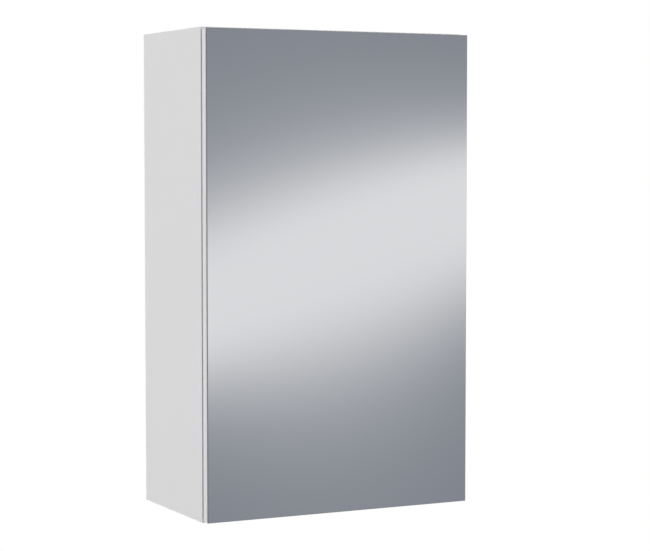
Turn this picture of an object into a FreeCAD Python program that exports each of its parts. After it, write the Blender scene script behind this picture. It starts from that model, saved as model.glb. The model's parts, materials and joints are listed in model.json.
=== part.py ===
import FreeCAD, Part
import math
import os
import re
import Sketcher

# Bathroom mirror cabinet: a white board body hung on a wall, with two shelves and one mirror
# door on a piano hinge. Sizes are in millimetres.
# +X points right as seen from the front, +Y to the wall and +Z up. The origin is the middle
# of the four wall-screw holes, on the wall plane.

V = FreeCAD.Vector

# Driving dimensions
SIZES = {
    # Body of boards
    "width": 390,
    "height": 650,
    "carcass_depth": 201,
    "board": 16,
    "edge_band": 1,
    "hang_drop": 60,
    # Back board, let into grooves
    "back_board": 3,
    "back_setback": 20,
    "groove_depth": 6,
    "groove_play": 0.2,
    # Shelves on supports plugged into the sides
    "lower_shelf_rise": 200,
    "upper_shelf_rise": 400,
    "shelf_setback": 28,
    "shelf_play": 0.5,
    "support_setback": 45,
    "support_radius": 2.5,
    "support_sink": 8,
    "support_pitch": 32,
    "ledge_length": 10,
    "ledge_width": 11,
    "ledge_thick": 3,
    # Cam fittings and dowels at the corners of the body
    "cam_setback": 30,
    "cam_inset": 24,
    "cam_radius": 7.5,
    "cam_floor": 3,
    "cam_slot_reach": 5,
    "cam_slot_width": 1.2,
    "cam_slot_depth": 3,
    "cap_thick": 1,
    "bolt_radius": 3,
    "bolt_head_radius": 3.6,
    "bolt_head_length": 3,
    "bolt_thread_radius": 2.5,
    "bolt_thread_length": 10,
    "dowel_pitch": 32,
    "dowel_radius": 4,
    "dowel_length": 30,
    "dowel_sink": 10,
    # Room left round pieces and at the ends of holes
    "fit_play": 0.1,
    "hole_spare": 1,
    # Cross-recessed screw heads, as shares of the head's own radius and height
    "head_taper": 0.7,
    "recess_reach": 0.55,
    "recess_width": 0.12,
    "recess_depth": 0.6,
    # Cabinet hangers, their hooks and the plates on the wall
    "hanger_width": 14,
    "hanger_height": 56,
    "hanger_depth": 32,
    "hanger_round": 2.5,
    "hanger_gap": 1,
    "hook_thick": 3,
    "hook_height": 8,
    "hook_grip": 22,
    "hook_play": 0.5,
    "notch_play": 2,
    "adjuster_radius": 2.5,
    "adjuster_head_radius": 4.2,
    "adjuster_head_height": 2.4,
    "adjuster_drop": 34,
    "fixing_radius": 2,
    "fixing_head_radius": 3.8,
    "fixing_head_height": 2.2,
    "fixing_sink": 12,
    "fixing_setback": 8,
    "upper_fixing_drop": 20,
    "lower_fixing_drop": 48,
    "wall_plate_width": 50,
    "wall_plate_height": 54,
    "wall_plate_thick": 2,
    "wall_plate_round": 4,
    "wall_plate_gap": 1,
    "wall_hole_pitch": 32,
    "wall_hole_radius": 3,
    "lip_reach": 9,
    "lip_rise": 5,
    # Door of board with a mirror taped on
    "door_board": 12,
    "side_reveal": 0.5,
    "end_reveal": 2.5,
    "tape_thick": 0.8,
    "tape_width": 30,
    "tape_margin": 45,
    "glass_thick": 3,
    "glass_overhang": 0.5,
    "glass_bevel": 0.6,
    "bumper_radius": 4,
    "bumper_top_radius": 3,
    "bumper_clear": 0.3,
    "bumper_inset": 7,
    "bumper_drop": 30,
    # Piano hinge between the right side and the door
    "leaf_thick": 1,
    "leaf_play": 1.2,
    "leaf_width": 16,
    "hinge_margin": 13,
    "knuckle_radius": 2.4,
    "knuckle_length": 20,
    "knuckle_play": 0.3,
    "pin_radius": 1.3,
    "pin_play": 0.05,
    "pin_overhang": 1,
    "leaf_screw_radius": 1.4,
    "leaf_screw_head_radius": 2.5,
    "leaf_screw_length": 10,
    "leaf_screw_inset": 5.5,
    "leaf_screw_margin": 30,
    # Magnetic catch behind the door's free edge
    "catch_width": 13,
    "catch_depth": 26,
    "catch_height": 44,
    "catch_drop": 110,
    "magnet_thick": 5,
    "magnet_depth": 13,
    "magnet_height": 24,
    "pole_thick": 1.5,
    "catch_fixing_pitch": 35,
    "catch_fixing_setback": 17,
    "strike_thick": 1,
    "strike_width": 12,
    "strike_height": 34,
    "strike_round": 3,
    "strike_clear": 0.3,
}

doc = FreeCAD.newDocument("MirrorCabinet")
sheet = doc.addObject("Spreadsheet::Sheet", "Sizes")
for row, (alias, value) in enumerate(SIZES.items(), start=1):
    sheet.set(f"A{row}", alias)
    sheet.set(f"B{row}", str(value))
    sheet.setAlias(f"B{row}", alias)
doc.recompute()

# Directions for pieces that are drawn along +Z
TURNED = {
    "+x": FreeCAD.Rotation(V(0, 1, 0), 90),
    "-x": FreeCAD.Rotation(V(0, 1, 0), -90),
    "+y": FreeCAD.Rotation(V(1, 0, 0), -90),
    "-y": FreeCAD.Rotation(V(1, 0, 0), 90),
    "+z": FreeCAD.Rotation(),
    "-z": FreeCAD.Rotation(V(1, 0, 0), 180),
}


def linked(text):
    """The expression with each size's name pointing at its cell."""
    return re.sub(r"[a-z_]+", lambda m: f"Sizes.{m[0]}" if m[0] in SIZES else m[0], str(text))


def number(text):
    """The present value of an expression."""
    return float(sheet.evalExpression(linked(text)))


def bind(obj, expressions):
    for path, text in expressions.items():
        obj.setExpression(path, linked(text))
    return obj


def at(obj, x, y, z, direction="+z"):
    """Places an object by expressions, turned from +Z to the given direction."""
    obj.Placement = FreeCAD.Placement(V(), TURNED[direction])
    return bind(obj, {"Placement.Base.x": x, "Placement.Base.y": y, "Placement.Base.z": z})


def box(name, x, y, z):
    """A box between two expressions along each axis."""
    obj = doc.addObject("Part::Box", name)
    bind(obj, {"Length": f"({x[1]}) - ({x[0]})", "Width": f"({y[1]}) - ({y[0]})"})
    bind(obj, {"Height": f"({z[1]}) - ({z[0]})"})
    return at(obj, x[0], y[0], z[0])


def rod(name, radius, length, x, y, z, direction):
    obj = doc.addObject("Part::Cylinder", name)
    bind(obj, {"Radius": radius, "Height": length})
    return at(obj, x, y, z, direction)


def cone(name, start_radius, end_radius, length, x, y, z, direction):
    obj = doc.addObject("Part::Cone", name)
    bind(obj, {"Radius1": start_radius, "Radius2": end_radius, "Height": length})
    return at(obj, x, y, z, direction)


def fused(name, pieces):
    obj = doc.addObject("Part::MultiFuse", name)
    obj.Shapes = pieces
    return obj


def grouped(name, pieces):
    obj = doc.addObject("Part::Compound", name)
    obj.Links = pieces
    return obj


def cut(name, base, tools):
    """The base with every tool taken away."""
    obj = doc.addObject("Part::Cut", name)
    obj.Base = base
    obj.Tool = grouped(f"{name}_tools", tools)
    return obj


def copies(name, master, places):
    """One node of like pieces: the master repeated at each place (x, y, z, direction)."""
    links = []
    for count, place in enumerate(places, start=1):
        link = doc.addObject("App::Link", f"{name}_{count}")
        link.setLink(master)
        links.append(at(link, *place))
    return grouped(name, links)


def sized(sketch, constraint, text):
    """Adds a constraint whose value follows an expression."""
    name = f"size_{sketch.addConstraint(constraint)}"
    sketch.renameConstraint(sketch.ConstraintCount - 1, name)
    sketch.setExpression(f"Constraints.{name}", linked(text))


def draw_polygon(sketch, corners):
    """Draws a closed outline through corners (x, y)."""
    points = [V(number(x), number(y)) for x, y in corners]
    lines = []
    for start, end in zip(points, points[1:] + points[:1]):
        lines.append(sketch.addGeometry(Part.LineSegment(start, end)))
    for i, (x, y) in enumerate(corners):
        sketch.addConstraint(Sketcher.Constraint("Coincident", lines[i - 1], 2, lines[i], 1))
        sized(sketch, Sketcher.Constraint("DistanceX", -1, 1, lines[i], 1, points[i].x), x)
        sized(sketch, Sketcher.Constraint("DistanceY", -1, 1, lines[i], 1, points[i].y), y)


def draw_rounded(sketch, outline):
    """Draws a rectangle with round corners about the origin, from its half sizes and corner radius."""
    half_x, half_y, radius = outline
    x = f"(({half_x}) - ({radius}))"
    y = f"(({half_y}) - ({radius}))"
    centres = [(x, y), (f"-{x}", y), (f"-{x}", f"-{y}"), (x, f"-{y}")]
    reach = number(radius)
    points = [V(number(u), number(v)) for u, v in centres]
    arcs = []
    lines = []
    for i, centre in enumerate(points):
        circle = Part.Circle(centre, V(0, 0, 1), reach)
        arcs.append(sketch.addGeometry(Part.ArcOfCircle(circle, i * math.pi / 2, (i + 1) * math.pi / 2)))
        outward = V(math.cos((i + 1) * math.pi / 2), math.sin((i + 1) * math.pi / 2)) * reach
        lines.append(sketch.addGeometry(Part.LineSegment(centre + outward, points[(i + 1) % 4] + outward)))
    for i, (u, v) in enumerate(centres):
        sketch.addConstraint(Sketcher.Constraint("Tangent", arcs[i], 2, lines[i], 1))
        sketch.addConstraint(Sketcher.Constraint("Tangent", lines[i - 1], 2, arcs[i], 1))
        sized(sketch, Sketcher.Constraint("DistanceX", -1, 1, arcs[i], 3, points[i].x), u)
        sized(sketch, Sketcher.Constraint("DistanceY", -1, 1, arcs[i], 3, points[i].y), v)
        sized(sketch, Sketcher.Constraint("Radius", arcs[i], reach), radius)


def plate(name, draw, outline, thickness, both_ways=False):
    """A body padded from an outline on its XY plane."""
    body = doc.addObject("PartDesign::Body", name)
    sketch = body.newObject("Sketcher::SketchObject", f"{name}_outline")
    plane = next(f for f in body.Origin.OriginFeatures if f.Role == "XY_Plane")
    sketch.AttachmentSupport = [(plane, "")]
    sketch.MapMode = "FlatFace"
    draw(sketch, outline)
    pad = body.newObject("PartDesign::Pad", f"{name}_pad")
    pad.Profile = sketch
    pad.Midplane = both_ways
    bind(pad, {"Length": thickness})
    return body


def cross_recess(name, radius, top, depth):
    """A cross cut into a screw head from its top, which faces -Z."""
    arm = (f"-{radius} * recess_reach", f"{radius} * recess_reach")
    slit = (f"-{radius} * recess_width", f"{radius} * recess_width")
    floor = (top, f"{top} + {depth}")
    return fused(name, [box(f"{name}_x", arm, slit, floor), box(f"{name}_y", slit, arm, floor)])


def pan_screw(name, kind, length):
    """A pan-head screw seated at z = 0, its shank along +Z."""
    radius = f"{kind}_head_radius"
    height = f"{kind}_head_height"
    head = cone(f"{name}_head", f"{radius} * head_taper", radius, height, "0", "0", f"-{height}", "+z")
    shank = rod(f"{name}_shank", f"{kind}_radius", length, "0", "0", "0", "+z")
    recess = cross_recess(f"{name}_recess", radius, f"-{height}", f"{height} * recess_depth")
    return cut(name, fused(f"{name}_blank", [head, shank]), [recess])


def flat_screw(name, seat):
    """A countersunk screw, flush in a plate of the seat's thickness above z = 0, its shank along +Z."""
    radius = "leaf_screw_head_radius"
    head = cone(f"{name}_head", radius, "leaf_screw_radius", seat, "0", "0", f"-{seat}", "+z")
    shank = rod(f"{name}_shank", "leaf_screw_radius", "leaf_screw_length", "0", "0", "0", "+z")
    recess = cross_recess(f"{name}_recess", radius, f"-{seat}", f"{seat} * recess_depth")
    return cut(name, fused(f"{name}_blank", [head, shank]), [recess])


def countersink(name, seat, x, y, z, direction):
    """The seat cut for a flat screw: from a plate's outer face along the screw."""
    wide = "leaf_screw_head_radius + fit_play"
    return cone(name, wide, "leaf_screw_radius + fit_play", seat, x, y, z, direction)


def pilot(name, place):
    """The hole for a flat screw in the board under its plate."""
    return rod(name, "leaf_screw_radius + fit_play", "leaf_screw_length + hole_spare", *place)


def across(sign, near, far):
    """A stretch that lies near to far from the middle plane, on the side that the sign gives."""
    return (near, far) if sign > 0 else (f"-({far})", f"-({near})")


# Planes of the body
TOP = "hang_drop"
BOTTOM = "(hang_drop - height)"
CEILING = "(hang_drop - board)"
FLOOR = "(hang_drop - height + board)"
OUTER = "(width / 2)"
INNER = "(width / 2 - board)"
FRONT = "(-carcass_depth)"
CORE_FRONT = "(edge_band - carcass_depth)"
BACK_REAR = "(-back_setback)"
BACK_FRONT = "(-back_setback - back_board)"
GROOVE_Y = (f"{BACK_FRONT} - groove_play", f"{BACK_REAR} + groove_play")
SIDES = {"left": -1, "right": 1}
OUTWARD = {"left": "-x", "right": "+x"}
INWARD = {"left": "+x", "right": "-x"}

# Planes of the door, one hinge gap in front of the body
DOOR_GAP = "(2 * leaf_thick + leaf_play)"
DOOR_BACK = f"({FRONT} - {DOOR_GAP})"
DOOR_FACE = f"({DOOR_BACK} - door_board)"
GLASS_BACK = f"({DOOR_FACE} - tape_thick)"
DOOR_HALF = "(width / 2 - side_reveal)"
DOOR_TOP = "(hang_drop - end_reveal)"
DOOR_BOTTOM = "(hang_drop - height + end_reveal)"

# Places of the corner fittings
LEVEL_Z = {"top": "(hang_drop - board / 2)", "bottom": "(hang_drop - height + board / 2)"}
CAM_Y = {"front": f"({FRONT} + cam_setback)", "rear": f"({BACK_FRONT} - cam_setback)"}
DOWEL_Y = {"front": f"({FRONT} + cam_setback + dowel_pitch)"}
DOWEL_Y["rear"] = f"({BACK_FRONT} - cam_setback - dowel_pitch)"
CAM_HEIGHT = "(board - cap_thick - cam_floor)"
CAM_X = f"({INNER} - cam_inset)"
CORNERS = [(level, side, row) for level in LEVEL_Z for side in SIDES for row in CAM_Y]

# Places of the shelves and their supports
SHELF_Z = {"lower": f"({FLOOR} + lower_shelf_rise)", "upper": f"({FLOOR} + upper_shelf_rise)"}
SHELF_FRONT = f"({FRONT} + shelf_setback)"
SUPPORT_Y = {"front": f"({FRONT} + support_setback)", "rear": f"({BACK_FRONT} - support_setback)"}

# Places of the hangers
HANGER_X = f"({INNER} - hanger_width / 2)"
HANGER_TOP = f"({CEILING} - hanger_gap)"
HANGER_FRONT = f"({BACK_FRONT} - hanger_depth)"
PLATE_TOP = "(wall_plate_height / 2)"
HOOK_LOW = f"({PLATE_TOP} + lip_rise + hook_play)"
HOOK_Z = (HOOK_LOW, f"({HOOK_LOW} + hook_height)")
FIXING_Y = f"({BACK_FRONT} - fixing_setback)"
FIXING_Z = [f"({HANGER_TOP} - {name}_fixing_drop)" for name in ("upper", "lower")]
ADJUSTER_Z = [f"({HOOK_LOW} + hook_height / 2)", f"({HANGER_TOP} - adjuster_drop)"]

# Axis and length of the piano hinge
AXIS_X = "(width / 2 + knuckle_radius + knuckle_play)"
AXIS_Y = f"({FRONT} - {DOOR_GAP} / 2)"
HINGE_LOW = f"({DOOR_BOTTOM} + hinge_margin)"
HINGE_HIGH = f"({DOOR_TOP} - hinge_margin)"
HINGE_LENGTH = f"({HINGE_HIGH} - {HINGE_LOW})"
LEAF_X = (f"{AXIS_X} - leaf_width", AXIS_X)
LEAF_SCREW_X = f"({AXIS_X} - leaf_width + leaf_screw_inset)"
LEAF_SCREWS = 7
LEAF_SCREW_STEP = f"(({HINGE_LENGTH} - 2 * leaf_screw_margin) / {LEAF_SCREWS - 1})"
LEAF_SCREW_Z = [f"({HINGE_LOW} + leaf_screw_margin + {i} * {LEAF_SCREW_STEP})" for i in range(LEAF_SCREWS)]
FRAME_SCREWS = [(LEAF_SCREW_X, FRONT, z, "+y") for z in LEAF_SCREW_Z]
DOOR_SCREWS = [(LEAF_SCREW_X, DOOR_BACK, z, "-y") for z in LEAF_SCREW_Z]

# Place of the magnetic catch on the left side
CATCH_X = f"({INNER} - catch_width / 2)"
CATCH_Z = f"({CEILING} - catch_drop)"
POLE_FRONT = f"({DOOR_BACK} + strike_thick + strike_clear)"
CATCH_FIXING_Y = f"({FRONT} + catch_fixing_setback)"
CATCH_FIXING_Z = [f"({CATCH_Z} {sign} catch_fixing_pitch / 2)" for sign in "+-"]
STRIKE_SCREW = (f"-{CATCH_X}", DOOR_BACK, CATCH_Z, "-y")

nodes = []


def keep(obj):
    """Marks a finished piece to be written as a node of its own."""
    nodes.append(obj)
    return obj


# Side panels, grooved for the back and bored for every fitting
def side_panel(side):
    sign = SIDES[side]
    face = f"{sign} * {INNER}"
    into = OUTWARD[side]
    name = f"{side}_side_panel"
    blank = box(f"{name}_blank", across(sign, INNER, OUTER), (CORE_FRONT, "0"), (BOTTOM, TOP))
    groove_z = (f"{FLOOR} - groove_depth", f"{CEILING} + groove_depth")
    holes = [box(f"{name}_groove", across(sign, INNER, f"{INNER} + groove_depth"), GROOVE_Y, groove_z)]
    for level, z in LEVEL_Z.items():
        for row in CAM_Y:
            thread = ("bolt_thread_radius + fit_play", "bolt_thread_length + hole_spare")
            holes.append(rod(f"{name}_{level}_{row}_bolt_hole", *thread, face, CAM_Y[row], z, into))
            dowel = ("dowel_radius + fit_play", "dowel_sink + hole_spare / 2")
            holes.append(rod(f"{name}_{level}_{row}_dowel_hole", *dowel, face, DOWEL_Y[row], z, into))
    for shelf, under in SHELF_Z.items():
        for row, y in SUPPORT_Y.items():
            for step in (-1, 0, 1):
                z = f"{under} - ledge_thick / 2 + ({step}) * support_pitch"
                plug = ("support_radius + fit_play", "support_sink + hole_spare")
                holes.append(rod(f"{name}_{shelf}_{row}_support_hole_{step + 2}", *plug, face, y, z, into))
    fixing = ("fixing_radius + fit_play", "fixing_sink + hole_spare")
    for z in FIXING_Z:
        holes.append(rod(f"{name}_hanger_hole", *fixing, face, FIXING_Y, z, into))
    if side == "left":
        for z in CATCH_FIXING_Z:
            holes.append(rod(f"{name}_catch_hole", *fixing, face, CATCH_FIXING_Y, z, into))
    else:
        for x, y, z, direction in FRAME_SCREWS:
            holes.append(pilot(f"{name}_leaf_hole", (x, y, z, direction)))
    return keep(cut(name, blank, holes))


# Top and bottom panels, bored for the cams that pull the sides tight
def level_panel(level):
    name = f"{level}_panel"
    outer_face, opens = (TOP, "-z") if level == "top" else (BOTTOM, "+z")
    span = (f"-{INNER}", INNER)
    blank_z = (CEILING, TOP) if level == "top" else (BOTTOM, FLOOR)
    groove_z = (CEILING, f"{CEILING} + groove_depth")
    if level == "bottom":
        groove_z = (f"{FLOOR} - groove_depth", FLOOR)
    holes = [box(f"{name}_groove", span, GROOVE_Y, groove_z)]
    for side, sign in SIDES.items():
        face = f"{sign} * {INNER}"
        into = INWARD[side]
        z = LEVEL_Z[level]
        for row in CAM_Y:
            bolt_bore = rod(
                f"{name}_{side}_{row}_bolt_bore", "bolt_head_radius + fit_play", "cam_inset",
                face, CAM_Y[row], z, into)
            cam_bore = rod(
                f"{name}_{side}_{row}_cam_bore", "cam_radius + fit_play", f"cap_thick + {CAM_HEIGHT}",
                f"{sign} * {CAM_X}", CAM_Y[row], outer_face, opens)
            holes.append(fused(f"{name}_{side}_{row}_cam_holes", [bolt_bore, cam_bore]))
            holes.append(rod(
                f"{name}_{side}_{row}_dowel_hole", "dowel_radius + fit_play",
                "dowel_length - dowel_sink + hole_spare / 2", face, DOWEL_Y[row], z, into))
    return keep(cut(name, box(f"{name}_blank", span, (CORE_FRONT, "0"), blank_z), holes))


# Hardboard back in the grooves, with a notch for each hook
def back_panel():
    half = f"({INNER} + groove_depth - groove_play)"
    z = (f"{FLOOR} - groove_depth + groove_play", f"{CEILING} + groove_depth - groove_play")
    blank = box("back_panel_blank", (f"-{half}", half), (BACK_FRONT, BACK_REAR), z)
    reach = "(hook_thick / 2 + notch_play)"
    notch_z = (f"{PLATE_TOP} - notch_play", f"{HOOK_Z[1]} + notch_play")
    notches = []
    for side, sign in SIDES.items():
        x = (f"{sign} * {HANGER_X} - {reach}", f"{sign} * {HANGER_X} + {reach}")
        notches.append(box(f"{side}_hook_notch", x, (BACK_FRONT, BACK_REAR), notch_z))
    return keep(cut("back_panel", blank, notches))


# Plastic edging on the front edges of the body
def body_edge_bands():
    y = (FRONT, CORE_FRONT)
    left = box("left_band", across(-1, INNER, OUTER), y, (BOTTOM, TOP))
    right = box("right_band_blank", across(1, INNER, OUTER), y, (BOTTOM, TOP))
    right = cut("right_band", right, [pilot("right_band_hole", place) for place in FRAME_SCREWS])
    span = (f"-{INNER}", INNER)
    top = box("top_band", span, y, (CEILING, TOP))
    bottom = box("bottom_band", span, y, (BOTTOM, FLOOR))
    return keep(grouped("body_edge_bands", [left, right, top, bottom]))


# Two shelves, their edging and the supports that carry them
def shelves():
    half = f"({INNER} - shelf_play)"
    x = (f"-{half}", half)
    bands = []
    for shelf, under in SHELF_Z.items():
        z = (under, f"{under} + board")
        rear = f"{BACK_FRONT} - shelf_play"
        keep(box(f"{shelf}_shelf", x, (f"{SHELF_FRONT} + edge_band", rear), z))
        bands.append(box(f"{shelf}_shelf_band", x, (SHELF_FRONT, f"{SHELF_FRONT} + edge_band"), z))
    keep(grouped("shelf_edge_bands", bands))


def shelf_supports():
    ledge = box(
        "support_ledge", ("-ledge_thick / 2", "ledge_thick / 2"), ("-ledge_width / 2", "ledge_width / 2"),
        ("-ledge_length", "0"))
    plug = rod("support_plug", "support_radius", "support_sink", "0", "0", "0", "+z")
    master = fused("shelf_support", [ledge, plug])
    places = []
    for under in SHELF_Z.values():
        for side, sign in SIDES.items():
            for y in SUPPORT_Y.values():
                places.append((f"{sign} * {INNER}", y, f"{under} - ledge_thick / 2", OUTWARD[side]))
    return keep(copies("shelf_supports", master, places))


# Cam bolts, cams, caps and dowels at the eight corner joints
def corner_fittings():
    shank = "(cam_inset - bolt_head_length / 2)"
    bolt = fused("cam_bolt", [
        rod("bolt_thread", "bolt_thread_radius", "bolt_thread_length", "0", "0", "0", "+z"),
        rod("bolt_shank", "bolt_radius", shank, "0", "0", f"-{shank}", "+z"),
        rod("bolt_head", "bolt_head_radius", "bolt_head_length",
            "0", "0", f"-{shank} - bolt_head_length", "+z"),
    ])
    dowel = rod("dowel", "dowel_radius", "dowel_length", "0", "0", "0", "+z")
    cap = rod("cam_cap", "cam_radius", "cap_thick", "0", "0", "0", "+z")
    bolts = []
    dowels = []
    caps = []
    for level, side, row in CORNERS:
        sign = SIDES[side]
        z = LEVEL_Z[level]
        bolts.append((f"{sign} * {INNER}", CAM_Y[row], z, OUTWARD[side]))
        dowel_end = f"{sign} * ({INNER} + dowel_sink)"
        dowels.append((dowel_end, DOWEL_Y[row], z, INWARD[side]))
        cap_z, cap_way = (TOP, "-z") if level == "top" else (BOTTOM, "+z")
        caps.append((f"{sign} * {CAM_X}", CAM_Y[row], cap_z, cap_way))
    keep(copies("cam_bolts", bolt, bolts))
    keep(copies("dowels", dowel, dowels))
    keep(copies("cam_caps", cap, caps))
    keep(grouped("cam_locks", [cam_lock(*corner) for corner in CORNERS]))


def cam_lock(level, side, row):
    """A round cam with a mouth for the bolt's head and a slot for the driver."""
    sign = SIDES[side]
    name = f"{level}_{side}_{row}_cam"
    x = f"{sign} * {CAM_X}"
    y = CAM_Y[row]
    below = "-" if level == "top" else "+"
    face = f"({TOP if level == 'top' else BOTTOM} {below} cap_thick)"
    way = "-z" if level == "top" else "+z"
    drum = rod(f"{name}_drum", "cam_radius", CAM_HEIGHT, x, y, face, way)
    mouth_start = f"{sign} * ({CAM_X} - bolt_head_length / 2 - fit_play)"
    mouth = rod(
        f"{name}_mouth", "bolt_head_radius + fit_play", "bolt_head_length / 2 + cam_radius + fit_play",
        mouth_start, y, LEVEL_Z[level], OUTWARD[side])
    slot_z = sorted([face, f"{face} {below} cam_slot_depth"], key=number)
    slot_x = (f"{x} - cam_slot_reach", f"{x} + cam_slot_reach")
    slot = box(f"{name}_slot", slot_x, (f"{y} - cam_slot_width / 2", f"{y} + cam_slot_width / 2"), slot_z)
    return cut(name, drum, [fused(f"{name}_cuts", [mouth, slot])])


# Hangers in the upper rear corners, which hook over the plates on the wall
def hanger(side):
    sign = SIDES[side]
    name = f"{side}_hanger"
    x = f"{sign} * {HANGER_X}"
    outline = ("hanger_width / 2", "hanger_height / 2", "hanger_round")
    blank = plate(f"{name}_blank", draw_rounded, outline, "hanger_depth")
    at(blank, x, BACK_FRONT, f"{HANGER_TOP} - hanger_height / 2", "-y")
    slot = box(
        f"{name}_slot", (f"{x} - hook_thick / 2 - fit_play", f"{x} + hook_thick / 2 + fit_play"),
        (f"{BACK_FRONT} - hook_grip", BACK_FRONT), (f"{HOOK_Z[0]} - fit_play", f"{HOOK_Z[1]} + fit_play"))
    holes = []
    for z in ADJUSTER_Z:
        adjuster = ("adjuster_radius + fit_play", "hanger_depth - hook_grip")
        holes.append(rod(f"{name}_adjuster_hole", *adjuster, x, HANGER_FRONT, z, "+y"))
    inner_face = f"{sign} * ({INNER} - hanger_width)"
    for z in FIXING_Z:
        fixing = ("fixing_radius + fit_play", "hanger_width")
        holes.append(rod(f"{name}_fixing_hole", *fixing, inner_face, FIXING_Y, z, OUTWARD[side]))
    return keep(cut(name, blank, [fused(f"{name}_cuts", [slot] + holes)]))


def hanger_hooks():
    """A steel bar from each hanger, with a tip that drops behind the wall plate's lip."""
    tip_front = "(-lip_reach + wall_plate_thick + hook_play)"
    bar_front = f"({BACK_FRONT} - hook_grip)"
    profile = [
        (f"-{PLATE_TOP}", tip_front), (f"-{HOOK_Z[0]}", tip_front), (f"-{HOOK_Z[0]}", bar_front),
        (f"-{HOOK_Z[1]}", bar_front), (f"-{HOOK_Z[1]}", "-hook_play"), (f"-{PLATE_TOP}", "-hook_play"),
    ]
    master = plate("hanger_hook", draw_polygon, profile, "hook_thick", both_ways=True)
    places = [(f"{sign} * {HANGER_X}", "0", "0", "+x") for sign in SIDES.values()]
    return keep(copies("hanger_hooks", master, places))


def hanger_screws():
    adjuster = pan_screw("hanger_adjuster", "adjuster", "hanger_depth - hook_grip")
    fixing = pan_screw("hanger_fixing", "fixing", "hanger_width + fixing_sink")
    adjusters = []
    fixings = []
    for side, sign in SIDES.items():
        adjusters += [(f"{sign} * {HANGER_X}", HANGER_FRONT, z, "+y") for z in ADJUSTER_Z]
        inner_face = f"{sign} * ({INNER} - hanger_width)"
        fixings += [(inner_face, FIXING_Y, z, OUTWARD[side]) for z in FIXING_Z]
    keep(copies("hanger_adjusters", adjuster, adjusters))
    keep(copies("hanger_fixings", fixing, fixings))


def wall_plate(side):
    """A steel plate screwed to the wall, bent at its top into the lip that carries a hook."""
    sign = SIDES[side]
    name = f"{side}_wall_plate"
    middle = f"({sign} * ({INNER} - wall_plate_gap - wall_plate_width / 2))"
    outline = ("wall_plate_width / 2", "wall_plate_height / 2", "wall_plate_round")
    blank = plate(f"{name}_blank", draw_rounded, outline, "wall_plate_thick")
    at(blank, middle, "0", "0", "-y")
    half_lip = "(wall_plate_width / 2 - wall_plate_round)"
    x = (f"{middle} - {half_lip}", f"{middle} + {half_lip}")
    foot = f"{PLATE_TOP} - wall_plate_thick"
    shelf = box(f"{name}_shelf", x, ("-lip_reach", "0"), (foot, PLATE_TOP))
    lip_y = ("-lip_reach", "-lip_reach + wall_plate_thick")
    lip = box(f"{name}_lip", x, lip_y, (foot, f"{PLATE_TOP} + lip_rise"))
    holes = []
    for way in "+-":
        z = f"0 {way} wall_hole_pitch / 2"
        holes.append(rod(f"{name}_hole", "wall_hole_radius", "wall_plate_thick", middle, "0", z, "-y"))
    return keep(cut(name, fused(f"{name}_steel", [blank, shelf, lip]), holes))


# Door board with its edging, and the mirror on tape strips
def door_panel():
    x = (f"-{DOOR_HALF} + edge_band", f"{DOOR_HALF} - edge_band")
    z = (f"{DOOR_BOTTOM} + edge_band", f"{DOOR_TOP} - edge_band")
    blank = box("door_blank", x, (DOOR_FACE, DOOR_BACK), z)
    holes = [pilot("door_leaf_hole", place) for place in DOOR_SCREWS]
    return keep(cut("door_panel", blank, holes + [pilot("strike_hole", STRIKE_SCREW)]))


def door_edge_bands():
    y = (DOOR_FACE, DOOR_BACK)
    bands = []
    for side, sign in SIDES.items():
        x = across(sign, f"{DOOR_HALF} - edge_band", DOOR_HALF)
        bands.append(box(f"door_{side}_band", x, y, (DOOR_BOTTOM, DOOR_TOP)))
    x = (f"-{DOOR_HALF} + edge_band", f"{DOOR_HALF} - edge_band")
    bands.append(box("door_top_band", x, y, (f"{DOOR_TOP} - edge_band", DOOR_TOP)))
    bands.append(box("door_bottom_band", x, y, (DOOR_BOTTOM, f"{DOOR_BOTTOM} + edge_band")))
    return keep(grouped("door_edge_bands", bands))


def mirror_glass():
    """Silvered glass, a little larger than its board, with its front edges ground to a fine bevel."""
    x = f"({DOOR_HALF} + glass_overhang)"
    low = f"({DOOR_BOTTOM} - glass_overhang)"
    high = f"({DOOR_TOP} + glass_overhang)"
    corners = [(f"-{x}", low), (x, low), (x, high), (f"-{x}", high)]
    body = plate("mirror_glass", draw_polygon, corners, "glass_thick")
    at(body, "0", GLASS_BACK, "0", "-y")
    doc.recompute()
    blank = body.Tip
    faces = blank.Shape.Faces
    front = max(range(len(faces)), key=lambda i: blank.Placement.inverse().multVec(faces[i].CenterOfMass).z)
    bevel = body.newObject("PartDesign::Chamfer", "mirror_bevel")
    bevel.Base = (blank, [f"Face{front + 1}"])
    bind(bevel, {"Size": "glass_bevel"})
    body.Tip = bevel
    return keep(body)


def mirror_tape():
    strips = 4
    z = (f"{DOOR_BOTTOM} + tape_margin", f"{DOOR_TOP} - tape_margin")
    pieces = []
    for i in range(strips):
        middle = f"({DOOR_HALF} - tape_margin) * {2 * i / (strips - 1) - 1}"
        x = (f"{middle} - tape_width / 2", f"{middle} + tape_width / 2")
        pieces.append(box(f"tape_strip_{i + 1}", x, (GLASS_BACK, DOOR_FACE), z))
    return keep(grouped("mirror_tape", pieces))


def door_bumpers():
    height = f"({DOOR_GAP} - bumper_clear)"
    master = cone("door_bumper", "bumper_radius", "bumper_top_radius", height, "0", "0", "0", "+z")
    x = f"-{DOOR_HALF} + bumper_inset"
    places = [(x, DOOR_BACK, z, "+y") for z in (f"{DOOR_TOP} - bumper_drop", f"{DOOR_BOTTOM} + bumper_drop")]
    return keep(copies("door_bumpers", master, places))


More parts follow.
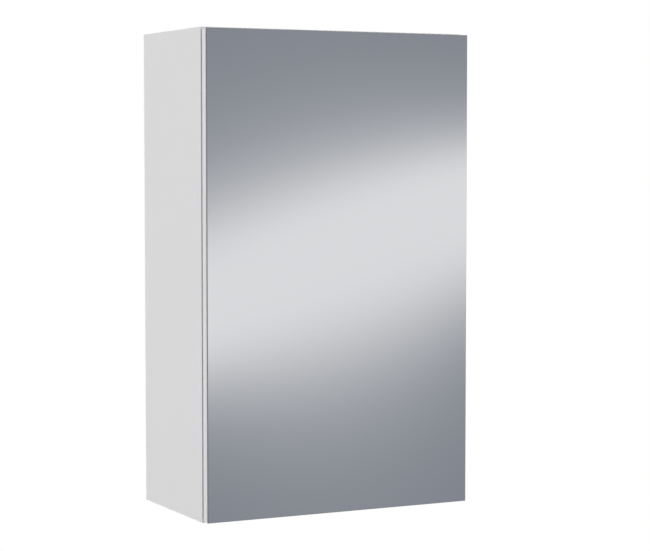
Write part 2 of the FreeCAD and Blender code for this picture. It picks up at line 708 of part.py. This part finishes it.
# Piano hinge: two leaves whose knuckles take turns along one pin
def hinge_leaf(name, board_face, out, own, other, step, screws):
    """A leaf on a board's face, out along +1 or -1 in Y, with its own knuckles and room for the other's."""
    outer_face = f"{board_face} + ({out}) * leaf_thick"
    y = sorted([board_face, outer_face], key=number)
    steel = [box(f"{name}_flat", LEAF_X, y, (HINGE_LOW, HINGE_HIGH))]
    for z in own:
        steel.append(rod(f"{name}_knuckle", "knuckle_radius", step, AXIS_X, AXIS_Y, z, "+z"))
    bore = ("pin_radius + pin_play", HINGE_LENGTH)
    cuts = [rod(f"{name}_bore", *bore, AXIS_X, AXIS_Y, HINGE_LOW, "+z")]
    room = ("knuckle_radius + knuckle_play", f"{step} + 2 * knuckle_play")
    for z in other:
        cuts.append(rod(f"{name}_room", *room, AXIS_X, AXIS_Y, f"{z} - knuckle_play", "+z"))
    seats = [countersink(f"{name}_seat", "leaf_thick", x, outer_face, z, way) for x, _, z, way in screws]
    return keep(cut(name, fused(f"{name}_steel", steel), [fused(f"{name}_cuts", cuts)] + seats))


def piano_hinge():
    count = int(number(f"{HINGE_LENGTH} / knuckle_length"))
    step = f"({HINGE_LENGTH} / {count})"
    starts = [f"({HINGE_LOW} + {i} * {step})" for i in range(count)]
    hinge_leaf("frame_leaf", FRONT, -1, starts[0::2], starts[1::2], step, FRAME_SCREWS)
    hinge_leaf("door_leaf", DOOR_BACK, 1, starts[1::2], starts[0::2], step, DOOR_SCREWS)
    pin = ("pin_radius", f"{HINGE_LENGTH} + 2 * pin_overhang")
    keep(rod("hinge_pin", *pin, AXIS_X, AXIS_Y, f"{HINGE_LOW} - pin_overhang", "+z"))
    master = flat_screw("leaf_screw", "leaf_thick")
    keep(copies("frame_leaf_screws", master, FRAME_SCREWS))
    keep(copies("door_leaf_screws", master, DOOR_SCREWS))


# Magnetic catch on the left side and its strike plate on the door
def magnetic_catch():
    x = f"(-{CATCH_X})"
    stack = "(magnet_thick / 2 + pole_thick)"
    magnet_z = (f"{CATCH_Z} - magnet_height / 2", f"{CATCH_Z} + magnet_height / 2")
    magnet_rear = f"{FRONT} + magnet_depth"
    blank = box(
        "catch_blank", across(-1, f"{INNER} - catch_width", INNER), (FRONT, f"{FRONT} + catch_depth"),
        (f"{CATCH_Z} - catch_height / 2", f"{CATCH_Z} + catch_height / 2"))
    cavity = box("catch_cavity", (f"{x} - {stack}", f"{x} + {stack}"), (FRONT, magnet_rear), magnet_z)
    inner_face = f"-({INNER} - catch_width)"
    holes = []
    for z in CATCH_FIXING_Z:
        fixing = ("fixing_radius + fit_play", "catch_width")
        holes.append(rod("catch_fixing_hole", *fixing, inner_face, CATCH_FIXING_Y, z, "-x"))
    keep(cut("catch_housing", blank, [cavity] + holes))
    magnet_x = (f"{x} - magnet_thick / 2", f"{x} + magnet_thick / 2")
    keep(box("catch_magnet", magnet_x, (FRONT, magnet_rear), magnet_z))
    poles = []
    for side in SIDES.values():
        near = f"{x} + ({side}) * magnet_thick / 2"
        far = f"{x} + ({side}) * {stack}"
        pole_x = (near, far) if side > 0 else (far, near)
        poles.append(box("catch_pole", pole_x, (POLE_FRONT, magnet_rear), magnet_z))
    keep(grouped("catch_poles", poles))
    fixing = pan_screw("catch_fixing", "fixing", "catch_width + fixing_sink")
    keep(copies("catch_fixings", fixing, [(inner_face, CATCH_FIXING_Y, z, "-x") for z in CATCH_FIXING_Z]))
    outline = ("strike_width / 2", "strike_height / 2", "strike_round")
    strike = plate("strike_blank", draw_rounded, outline, "strike_thick")
    at(strike, x, DOOR_BACK, CATCH_Z, "+y")
    seat = countersink("strike_seat", "strike_thick", x, f"{DOOR_BACK} + strike_thick", CATCH_Z, "-y")
    keep(cut("catch_strike", strike, [seat]))
    keep(copies("strike_screw", flat_screw("strike_screw_master", "strike_thick"), [STRIKE_SCREW]))


for side_name in SIDES:
    side_panel(side_name)
for level_name in LEVEL_Z:
    level_panel(level_name)
back_panel()
body_edge_bands()
shelves()
shelf_supports()
corner_fittings()
for side_name in SIDES:
    hanger(side_name)
    wall_plate(side_name)
hanger_hooks()
hanger_screws()
door_panel()
door_edge_bands()
mirror_glass()
mirror_tape()
door_bumpers()
piano_hinge()
magnetic_catch()
doc.recompute()

for obj in doc.Objects:
    if "Invalid" in obj.State or "Error" in obj.State:
        raise RuntimeError(f"{obj.Label} failed: {obj.State}")
for obj in nodes:
    if obj.Shape.isNull() or not obj.Shape.isValid():
        raise RuntimeError(f"{obj.Label} has no sound shape")

os.makedirs("parts", exist_ok=True)
for obj in nodes:
    obj.Shape.exportStep(f"parts/{obj.Label}.step")
    print(f"{obj.Label}: {len(obj.Shape.Solids)} solids, {obj.Shape.Volume:.0f} mm3")
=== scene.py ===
import json
import math

import bmesh
import bpy
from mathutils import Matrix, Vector


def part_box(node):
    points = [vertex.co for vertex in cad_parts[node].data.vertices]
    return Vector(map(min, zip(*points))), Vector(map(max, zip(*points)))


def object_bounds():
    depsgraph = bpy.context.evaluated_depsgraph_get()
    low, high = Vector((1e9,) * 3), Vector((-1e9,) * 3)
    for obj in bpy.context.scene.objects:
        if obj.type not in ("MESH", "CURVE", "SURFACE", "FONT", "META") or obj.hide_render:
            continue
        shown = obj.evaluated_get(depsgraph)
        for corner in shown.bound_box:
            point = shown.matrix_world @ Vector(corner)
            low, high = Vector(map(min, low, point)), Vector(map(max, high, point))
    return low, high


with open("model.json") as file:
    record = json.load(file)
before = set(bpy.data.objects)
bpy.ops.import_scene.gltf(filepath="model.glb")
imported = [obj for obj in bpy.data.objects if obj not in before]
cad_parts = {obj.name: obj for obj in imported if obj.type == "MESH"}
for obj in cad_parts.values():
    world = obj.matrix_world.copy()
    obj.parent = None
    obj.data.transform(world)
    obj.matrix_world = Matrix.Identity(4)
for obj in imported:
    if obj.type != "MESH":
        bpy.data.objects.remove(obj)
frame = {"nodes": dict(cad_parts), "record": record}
cad_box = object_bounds()

# Looks of a wall-hung mirror cabinet, in metres, in the frame of the model: +X right, +Y to the
# wall, +Z up, with the origin on the wall between the wall screws. Colours are in linear light.

NODES = frame["nodes"]
SLOT_OF = {part["node"]: part["material_slot"] for part in frame["record"]["subparts"]}
MIDDLE = (cad_box[0] + cad_box[1]) / 2
MM = 0.001
X, Y, Z = range(3)
UNSTRETCHED = (1, 1, 1)

BOARD_WHITE = (0.765, 0.765, 0.77, 1)
EDGING_WHITE = (0.775, 0.773, 0.797, 1)
PLASTIC_WHITE = (0.77, 0.77, 0.755, 1)
SILVER = (0.93, 0.94, 0.945, 1)
WHITE = (1, 1, 1, 1)


# Node trees

def connect(tree, value, socket):
    """Links an output to an input, or sets a plain value on the input."""
    if isinstance(value, bpy.types.NodeSocket):
        tree.links.new(value, socket)
    else:
        socket.default_value = value


def add(tree, kind, inputs=(), **settings):
    """A node with its settings made and its inputs, by name or number, set or linked."""
    made = tree.nodes.new("ShaderNode" + kind)
    for key, value in settings.items():
        setattr(made, key, value)
    for key, value in dict(inputs).items():
        connect(tree, value, made.inputs[key])
    return made


def calc(tree, operation, *values):
    """The result of one step of arithmetic."""
    return add(tree, "Math", enumerate(values), operation=operation).outputs[0]


def blend(tree, factor, first, second):
    """A colour from first at factor 0 to second at factor 1."""
    # The colours of this node are its inputs 6 and 7 and its output 2
    return add(tree, "Mix", {0: factor, 6: first, 7: second}, data_type="RGBA").outputs[2]


def spread(tree, factor, low, high):
    """A number from low at factor 0 to high at factor 1."""
    return add(tree, "MapRange", {"Value": factor, "To Min": low, "To Max": high}).outputs[0]


def tones(tree, factor, colours, first=0.3, last=0.7):
    """A colour read along an even row of colours, which fills the factor's range from first to last.

    The range given here is where soft noise mostly lies.
    """
    made = add(tree, "ValToRGB", {"Fac": factor})
    stops = made.color_ramp.elements
    while len(stops) < len(colours):
        stops.new(1.0)
    step = (last - first) / (len(colours) - 1)
    for number, colour in enumerate(colours):
        stops[number].position = first + number * step
        stops[number].color = (*colour, 1)
    return made.outputs["Color"]


def shaded(colour, share):
    """A colour at a share of its brightness."""
    return (*(share * part for part in colour[:3]), 1)


def place_on(tree, size, stretch):
    """Object coordinates counted in cells of the given size, longer along the stretched axes."""
    where = add(tree, "TexCoord").outputs["Object"]
    scale = [1 / (size * share) for share in stretch]
    return add(tree, "Mapping", {"Vector": where, "Scale": scale}).outputs["Vector"]


def mottle(tree, size, stretch=UNSTRETCHED, detail=3.0):
    """Soft noise from 0 to 1, with blotches of about the given size."""
    where = place_on(tree, size, stretch)
    return add(tree, "TexNoise", {"Vector": where, "Scale": 1.0, "Detail": detail}).outputs[0]


def cells(tree, size, stretch=UNSTRETCHED):
    """Irregular cells: the distance from each cell's middle, and a random number for each cell."""
    made = add(tree, "TexVoronoi", {"Vector": place_on(tree, size, stretch), "Scale": 1.0})
    number = add(tree, "SeparateColor", {"Color": made.outputs["Color"]}).outputs[0]
    return made.outputs["Distance"], number


def relief(tree, height, depth):
    """A normal that follows a height field of the given depth in metres."""
    return add(tree, "Bump", {"Height": height, "Distance": depth}).outputs["Normal"]


def along(tree, output, axis):
    """One axis of a texture coordinate: Object for the place, Normal for the way a face looks."""
    vector = add(tree, "TexCoord").outputs[output]
    return add(tree, "SeparateXYZ", {"Vector": vector}).outputs[axis]


def within(tree, axis, low, high):
    """1 between two planes across an axis, else 0."""
    return calc(tree, "COMPARE", along(tree, "Object", axis), (low + high) / 2, (high - low) / 2)


def away_from_front(tree, degrees):
    """1 where a face is turned from the front by more than an angle, else 0."""
    return calc(tree, "GREATER_THAN", along(tree, "Normal", Y), -math.cos(math.radians(degrees)))


def ridges(tree, axis, pitch):
    """A sine along an axis."""
    return calc(tree, "SINE", calc(tree, "MULTIPLY", along(tree, "Object", axis), math.tau / pitch))


def material(name, constants=()):
    """A new material, its tree and its shader's inputs, with constant values set on the inputs."""
    made = bpy.data.materials.new(name)
    made.use_nodes = True
    inputs = made.node_tree.nodes["Principled BSDF"].inputs
    for socket, value in dict(constants).items():
        inputs[socket].default_value = value
    return made, made.node_tree, inputs


def bare_material(name):
    """A new material with an empty tree."""
    made = bpy.data.materials.new(name)
    made.use_nodes = True
    made.node_tree.nodes.clear()
    return made, made.node_tree


# Boards

def chipboard(tree, stretch):
    """Colour of the raw core at a cut edge: pressed chips with darker gaps."""
    chips = [(0.33, 0.21, 0.11), (0.50, 0.36, 0.21), (0.66, 0.52, 0.34)]
    gap = (0.22, 0.14, 0.075, 1)
    distance, number = cells(tree, size=1.6 * MM, stretch=stretch)
    wood = tones(tree, number, chips, first=0.0, last=1.0)
    return blend(tree, calc(tree, "POWER", distance, 2.0), wood, gap)


def melamine_board(node, thin_axis, long_axis):
    """White melamine paper on chipboard, whose raw core shows at cut edges and in bores."""
    made, tree, shader = material(f"{node}_melamine", {"Specular IOR Level": 0.45})
    paper_thickness = 0.25 * MM
    chip_stretch = 2.6
    core_roughness_gain = 0.45
    low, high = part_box(node)
    inside = [
        within(tree, axis, low[axis] + paper_thickness, high[axis] - paper_thickness)
        for axis in (thin_axis, long_axis)
    ]
    core = calc(tree, "MULTIPLY", *inside)
    stretch = [chip_stretch if axis == long_axis else 1 for axis in (X, Y, Z)]
    paper = blend(tree, mottle(tree, size=45 * MM), shaded(BOARD_WHITE, share=0.985), BOARD_WHITE)
    connect(tree, blend(tree, core, paper, chipboard(tree, stretch)), shader["Base Color"])
    pearl = mottle(tree, size=0.7 * MM, detail=2.0)
    satin = spread(tree, pearl, low=0.36, high=0.46)
    connect(tree, calc(tree, "MULTIPLY_ADD", core, core_roughness_gain, satin), shader["Roughness"])
    connect(tree, relief(tree, pearl, depth=0.012 * MM), shader["Normal"])
    return made


def edging():
    """White plastic edging with the faint lines of its extrusion, along X and Z as the bands run."""
    made, tree, shader = material("plastic_edging")
    lines = mottle(tree, size=0.8 * MM, stretch=(60, 1, 60))
    cloud = mottle(tree, size=30 * MM)
    white = blend(tree, cloud, shaded(EDGING_WHITE, share=0.98), EDGING_WHITE)
    connect(tree, white, shader["Base Color"])
    connect(tree, spread(tree, lines, low=0.26, high=0.38), shader["Roughness"])
    connect(tree, relief(tree, lines, depth=0.008 * MM), shader["Normal"])
    return made


def hardboard():
    """Hardboard: white lacquer towards the room, brown fibre with a screen's print to the wall."""
    made, tree, shader = material("lacquered_hardboard", {"Specular IOR Level": 0.4})
    browns = [(0.17, 0.092, 0.044), (0.25, 0.145, 0.073), (0.34, 0.21, 0.115)]
    screen_pitch = 1.7 * MM
    raw = away_from_front(tree, degrees=60)
    fibre = mottle(tree, size=2.2 * MM, stretch=(1, 1, 1.8), detail=5.0)
    connect(tree, blend(tree, raw, BOARD_WHITE, tones(tree, fibre, browns)), shader["Base Color"])
    connect(tree, spread(tree, raw, low=0.42, high=0.85), shader["Roughness"])
    screen = calc(tree, "MULTIPLY", ridges(tree, X, screen_pitch), ridges(tree, Z, screen_pitch))
    rough = calc(tree, "MULTIPLY", calc(tree, "ADD", screen, fibre), raw)
    connect(tree, relief(tree, rough, depth=0.05 * MM), shader["Normal"])
    return made


# Door facing

def silvered_glass():
    """Mirror: a bright silvered face, and ground edges that look into the dark of the glass."""
    made, tree, shader = material("silvered_glass", {"IOR": 1.52})
    edge = away_from_front(tree, degrees=18)
    grit = mottle(tree, size=0.5 * MM, detail=2.0)
    ground = tones(tree, grit, [(0.125, 0.135, 0.135), (0.22, 0.23, 0.23)])
    connect(tree, blend(tree, edge, SILVER, ground), shader["Base Color"])
    connect(tree, calc(tree, "SUBTRACT", 1.0, edge), shader["Metallic"])
    haze = spread(tree, mottle(tree, size=90 * MM), low=0.0, high=0.012)
    matt = calc(tree, "MULTIPLY", edge, spread(tree, grit, low=0.28, high=0.45))
    connect(tree, calc(tree, "ADD", haze, matt), shader["Roughness"])
    return made


def foam():
    """Closed-cell mounting foam."""
    made, tree, shader = material("mounting_foam", {"Specular IOR Level": 0.2})
    bubbles, number = cells(tree, size=0.35 * MM)
    pale = tones(tree, number, [(0.50, 0.50, 0.49), (0.66, 0.66, 0.64)], first=0.0, last=1.0)
    connect(tree, pale, shader["Base Color"])
    connect(tree, spread(tree, bubbles, low=0.95, high=0.8), shader["Roughness"])
    connect(tree, relief(tree, bubbles, depth=0.08 * MM), shader["Normal"])
    return made


def silicone():
    """Translucent bumpers."""
    made, tree, shader = material("clear_silicone", {"IOR": 1.41, "Transmission Weight": 0.7})
    cloud = mottle(tree, size=2 * MM)
    connect(tree, tones(tree, cloud, [(0.74, 0.74, 0.72), (0.86, 0.86, 0.85)]), shader["Base Color"])
    connect(tree, spread(tree, cloud, low=0.25, high=0.4), shader["Roughness"])
    return made


# Fittings

def grainy(name, constants, colours, roughness, depth, size, stretch=UNSTRETCHED):
    """A finish whose colour, gloss and relief all follow one grain of the given size."""
    made, tree, shader = material(name, constants)
    grain = mottle(tree, size, stretch, detail=4.0)
    connect(tree, tones(tree, grain, colours), shader["Base Color"])
    connect(tree, spread(tree, grain, *roughness), shader["Roughness"])
    connect(tree, relief(tree, grain, depth), shader["Normal"])
    return made


def beech():
    """Dowel beech with its grain along X."""
    return grainy(
        "dowel_beech",
        {"Specular IOR Level": 0.3},
        colours=[(0.40, 0.23, 0.11), (0.60, 0.40, 0.22)],
        roughness=(0.7, 0.55),
        depth=0.1 * MM,
        size=0.8 * MM,
        stretch=(14, 1, 1),
    )


def cast_zinc():
    """Die-cast zinc with a dull, slightly uneven skin."""
    return grainy(
        "cast_zinc",
        {"Metallic": 1.0},
        colours=[(0.36, 0.36, 0.37), (0.48, 0.48, 0.49)],
        roughness=(0.58, 0.4),
        depth=0.03 * MM,
        size=1.5 * MM,
    )


def ferrite():
    """Dark sintered magnet with a grainy skin."""
    return grainy(
        "sintered_ferrite",
        {"Specular IOR Level": 0.4},
        colours=[(0.012, 0.012, 0.013), (0.04, 0.04, 0.042)],
        roughness=(0.7, 0.5),
        depth=0.04 * MM,
        size=0.5 * MM,
    )


def nickel(name, stretch):
    """Nickel plate over rolled steel, with fine lines along the stretched axis."""
    return grainy(
        name,
        {"Metallic": 1.0},
        colours=[(0.60, 0.585, 0.56), (0.69, 0.675, 0.65)],
        roughness=(0.24, 0.32),
        depth=0.002 * MM,
        size=0.25 * MM,
        stretch=stretch,
    )


def screw_nickel():
    """Brighter nickel on turned screw heads, which have no lines."""
    return grainy(
        "plated_screws",
        {"Metallic": 1.0},
        colours=[(0.84, 0.825, 0.80), (0.93, 0.915, 0.89)],
        roughness=(0.18, 0.28),
        depth=0.002 * MM,
        size=0.4 * MM,
    )


def moulded_plastic():
    """White moulded plastic with a fine eroded texture."""
    made, tree, shader = material("moulded_plastic", {"Specular IOR Level": 0.45})
    pits = mottle(tree, size=0.4 * MM, detail=2.0)
    cloud = mottle(tree, size=12 * MM)
    white = blend(tree, cloud, shaded(PLASTIC_WHITE, share=0.96), PLASTIC_WHITE)
    connect(tree, white, shader["Base Color"])
    connect(tree, spread(tree, pits, low=0.42, high=0.58), shader["Roughness"])
    connect(tree, relief(tree, pits, depth=0.02 * MM), shader["Normal"])
    return made


def galvanised_steel():
    """Zinc-coated sheet with its spangle of crystals."""
    made, tree, shader = material("galvanised_sheet", {"Metallic": 1.0})
    frost_share = 0.35
    crystal = cells(tree, size=5 * MM)[1]
    frost = mottle(tree, size=0.6 * MM)
    spangle = calc(tree, "MULTIPLY", crystal, 1 - frost_share)
    sheen = calc(tree, "MULTIPLY_ADD", frost, frost_share, spangle)
    zinc = tones(tree, sheen, [(0.42, 0.43, 0.45), (0.62, 0.63, 0.65)], first=0.15, last=0.85)
    connect(tree, zinc, shader["Base Color"])
    connect(tree, spread(tree, sheen, low=0.30, high=0.52), shader["Roughness"])
    connect(tree, relief(tree, frost, depth=0.01 * MM), shader["Normal"])
    return made


# Finish of each node

BOARDS = {
    # Each board's thin axis and its long axis
    "left_side_panel": (X, Z),
    "right_side_panel": (X, Z),
    "top_panel": (Z, X),
    "bottom_panel": (Z, X),
    "lower_shelf": (Z, X),
    "upper_shelf": (Z, X),
    "door_panel": (Y, Z),
}
BRIGHT_SCREWS = ("frame_leaf_screws", "door_leaf_screws", "strike_screw")
SCREW_FINISH = screw_nickel()
SLOT_FINISHES = {
    "back_board": hardboard(),
    "white_edging": edging(),
    "mirror": silvered_glass(),
    "foam_tape": foam(),
    "dowel_wood": beech(),
    "zinc": cast_zinc(),
    "white_plastic": moulded_plastic(),
    "support_steel": nickel("plated_supports", stretch=(9, 1, 1)),
    "galvanised_steel": galvanised_steel(),
    "hinge_steel": nickel("plated_hinge", stretch=(1, 1, 90)),
    "ferrite": ferrite(),
    "clear_rubber": silicone(),
}


def finish_of(name):
    """Each board has a finish of its own, bright screws share one, and the rest follow their slot."""
    if name in BOARDS:
        return melamine_board(name, *BOARDS[name])
    if name in BRIGHT_SCREWS:
        return SCREW_FINISH
    return SLOT_FINISHES[SLOT_OF[name]]


for name, node in NODES.items():
    finish = finish_of(name)
    for slot in node.material_slots:
        slot.material = finish


# Stage: a pale floor below the hung cabinet, and two cards that only reflections see

HANGING_HEIGHT = 1.25
FLOOR_LEVEL = cad_box[0].z - HANGING_HEIGHT
FLOOR_RADIUS = 7.0
FLOOR_FADE = 4.0
FLOOR_GREY = (0.80, 0.80, 0.80, 1)
FLOOR_WHITE_SHARE = 0.75


def stage_mesh(name, shape, finish, height=0.0):
    """A stage piece made of a shape, which it uses up."""
    mesh = bpy.data.meshes.new(name)
    shape.to_mesh(mesh)
    shape.free()
    mesh.materials.append(finish)
    made = bpy.data.objects.new(name, mesh)
    made.location.z = height
    bpy.context.scene.collection.objects.link(made)
    return made


def shows_background(tree):
    """1 for a ray from the camera, straight or by way of metal or glass, else 0."""
    path = add(tree, "LightPath").outputs
    direct = calc(tree, "MAXIMUM", path["Is Camera Ray"], path["Is Glossy Ray"])
    return calc(tree, "MAXIMUM", direct, path["Is Transmission Ray"])


def floor():
    """A round pale floor that looks nearly white in the middle and white further out."""
    made, tree = bare_material("pale_floor")
    pale = add(tree, "BsdfDiffuse", {"Color": FLOOR_GREY}).outputs[0]
    white = add(tree, "Emission", {"Color": WHITE}).outputs[0]
    place = add(tree, "TexCoord").outputs["Object"]
    distance = add(tree, "VectorMath", {0: place}, operation="LENGTH").outputs["Value"]
    far = calc(tree, "POWER", calc(tree, "DIVIDE", distance, FLOOR_FADE), 2.0)
    share = spread(tree, far, low=FLOOR_WHITE_SHARE, high=1.0)
    seen = calc(tree, "MULTIPLY", share, shows_background(tree))
    mixed = add(tree, "MixShader", {0: seen, 1: pale, 2: white}).outputs[0]
    add(tree, "OutputMaterial", {"Surface": mixed})
    shape = bmesh.new()
    bmesh.ops.create_circle(shape, cap_ends=True, segments=96, radius=FLOOR_RADIUS)
    stage_mesh("floor", shape, made, FLOOR_LEVEL)


# A card stands in front of the cabinet and runs back along the floor. A second one, turned round, does
# the same behind it for the open door. It starts to fade at the middle of the cabinet, so that the left
# side panel hardly sees it. Both are slate grey with soft bright bands that wave along X, and they turn
# white towards their ends.

CARD_Y = -3.2
CARD_GAP = 0.1
CARD_NEAR_Y = cad_box[0].y - CARD_GAP
CARD_LIFT = 5 * MM
CARD_FOOT = FLOOR_LEVEL + CARD_LIFT
CARD_END = 14.0
CARD_END_FADE = 1.3
FRONT_CARD_TOP = 3.0
BACK_CARD_TOP = 0.8
CARD_SLATE = (0.22, 0.235, 0.27, 1)
CARD_BRIGHT = (0.74, 0.74, 0.755, 1)
BAND_PITCH = 2.8
BAND_MIDDLE = {"level": -0.44, "swing": 0.24, "rate": 1.6, "crest": 2.31}
BAND_UPPER_REACH = {"level": 0.23, "swing": 0.06, "rate": 2.6, "crest": 1.12}
BAND_LOWER_REACH = {"level": 0.29, "swing": 0.11, "rate": 3.2, "crest": 1.65}
BAND_UPPER_FALL = 3.2
BAND_LOWER_FALL = 3.5


def wave(tree, level, swing, rate, crest):
    """A cosine along X with a crest at the given place."""
    turn = calc(tree, "MULTIPLY", calc(tree, "SUBTRACT", along(tree, "Object", X), crest), rate)
    return calc(tree, "MULTIPLY_ADD", calc(tree, "COSINE", turn), swing, level)


def fade(tree, distance, reach, fall):
    """Grows from 0 at no distance, through 1 at the reach, and faster with a larger fall."""
    share = calc(tree, "MAXIMUM", calc(tree, "DIVIDE", distance, wave(tree, **reach)), 0.0)
    return calc(tree, "POWER", share, fall)


def card_colour(tree):
    """The colour of the bands, counted down the card's standing part and on along the floor."""
    back = calc(tree, "SUBTRACT", along(tree, "Object", Y), CARD_Y)
    rise = calc(tree, "SUBTRACT", along(tree, "Object", Z), back)
    offset = calc(tree, "SUBTRACT", rise, wave(tree, **BAND_MIDDLE))
    upwards = calc(tree, "WRAP", offset, BAND_PITCH / 2, -BAND_PITCH / 2)
    downwards = calc(tree, "MULTIPLY", upwards, -1.0)
    above = fade(tree, upwards, BAND_UPPER_REACH, BAND_UPPER_FALL)
    below = fade(tree, downwards, BAND_LOWER_REACH, BAND_LOWER_FALL)
    light = calc(tree, "DIVIDE", 1.0, calc(tree, "ADD", 1.0, calc(tree, "ADD", above, below)))
    return blend(tree, light, CARD_SLATE, CARD_BRIGHT)


def card_paper(name, ends):
    """Glowing paper in the card's colours, white at its ends."""
    made, tree = bare_material(name)
    middle = (ends[0] + ends[1]) / 2
    aside = calc(tree, "ABSOLUTE", calc(tree, "SUBTRACT", along(tree, "Object", X), middle))
    inside = calc(tree, "SUBTRACT", ends[1] - middle, aside)
    colour = blend(tree, calc(tree, "DIVIDE", inside, CARD_END_FADE), WHITE, card_colour(tree))
    glow = add(tree, "Emission", {"Color": colour}).outputs[0]
    add(tree, "OutputMaterial", {"Surface": glow})
    return made


def reflection_card(name, ends, top, turn=0.0):
    """A card from end to end along X and up to its top, turned about the origin."""
    paper = card_paper(f"{name}_paper", ends)
    profile = [(CARD_Y, top), (CARD_Y, CARD_FOOT), (CARD_NEAR_Y, CARD_FOOT)]
    shape = bmesh.new()
    rows = [[shape.verts.new((x, y, z)) for x in ends] for y, z in profile]
    for (left, right), (next_left, next_right) in zip(rows, rows[1:]):
        shape.faces.new((left, right, next_right, next_left))
    card = stage_mesh(name, shape, paper)
    card.rotation_euler.z = turn
    card.visible_camera = False
    card.visible_diffuse = False
    card.visible_shadow = False
    card.visible_transmission = False


floor()
reflection_card("front_card", ends=(-CARD_END, CARD_END), top=FRONT_CARD_TOP)
reflection_card("back_card", ends=(-CARD_END, CARD_END_FADE), top=BACK_CARD_TOP, turn=math.pi)


# Light: an even pale surround and three large soft lamps

SURROUND_LIGHT = 0.5


def surround():
    """White to the camera and in reflections, dimmer as a light."""
    world = bpy.data.worlds.new("studio")
    bpy.context.scene.world = world
    world.use_nodes = True
    tree = world.node_tree
    tree.nodes.clear()
    lit = add(tree, "Background", {"Strength": SURROUND_LIGHT, "Color": WHITE}).outputs[0]
    white = add(tree, "Background", {"Strength": 1.0, "Color": WHITE}).outputs[0]
    mixed = add(tree, "MixShader", {0: shows_background(tree), 1: lit, 2: white}).outputs[0]
    add(tree, "OutputWorld", {"Surface": mixed})


def lamp(name, offset, size, watts):
    """A round lamp, offset from the middle of the cabinet. It looks back there and isn't seen itself."""
    light = bpy.data.lights.new(name, "AREA")
    light.shape = "DISK"
    light.size = size
    light.energy = watts
    made = bpy.data.objects.new(name, light)
    made.location = MIDDLE + Vector(offset)
    made.rotation_euler = Vector(offset).to_track_quat("Z", "Y").to_euler()
    made.visible_camera = False
    made.visible_glossy = False
    bpy.context.scene.collection.objects.link(made)


surround()
lamp("left_lamp", offset=(-2.6, -0.04, 0.35), size=1.6, watts=22.8)
lamp("front_right_lamp", offset=(1.9, -2.3, 0.57), size=1.6, watts=36)
lamp("overhead_lamp", offset=(0.1, 0.6, 2.45), size=1.4, watts=14)


# Camera at the photograph's viewing angle

# The offset is from the middle of the cabinet. The turn to the right and the tilt down are in degrees,
# and the lens and the sensor in millimetres.
CAMERA_OFFSET = (-1.22855, -2.515, 0.162)
CAMERA_TURN = 26.555
CAMERA_TILT = 3.495
CAMERA_LENS = 111.6
CAMERA_SENSOR = 36.0

camera_data = bpy.data.cameras.new("camera")
camera_data.lens = CAMERA_LENS
camera_data.sensor_width = CAMERA_SENSOR
camera = bpy.data.objects.new("camera", camera_data)
camera.location = MIDDLE + Vector(CAMERA_OFFSET)
camera.rotation_euler = (math.radians(90 - CAMERA_TILT), 0, math.radians(-CAMERA_TURN))
bpy.context.scene.collection.objects.link(camera)
bpy.context.scene.camera = camera
bpy.context.scene.view_settings.view_transform = "Standard"
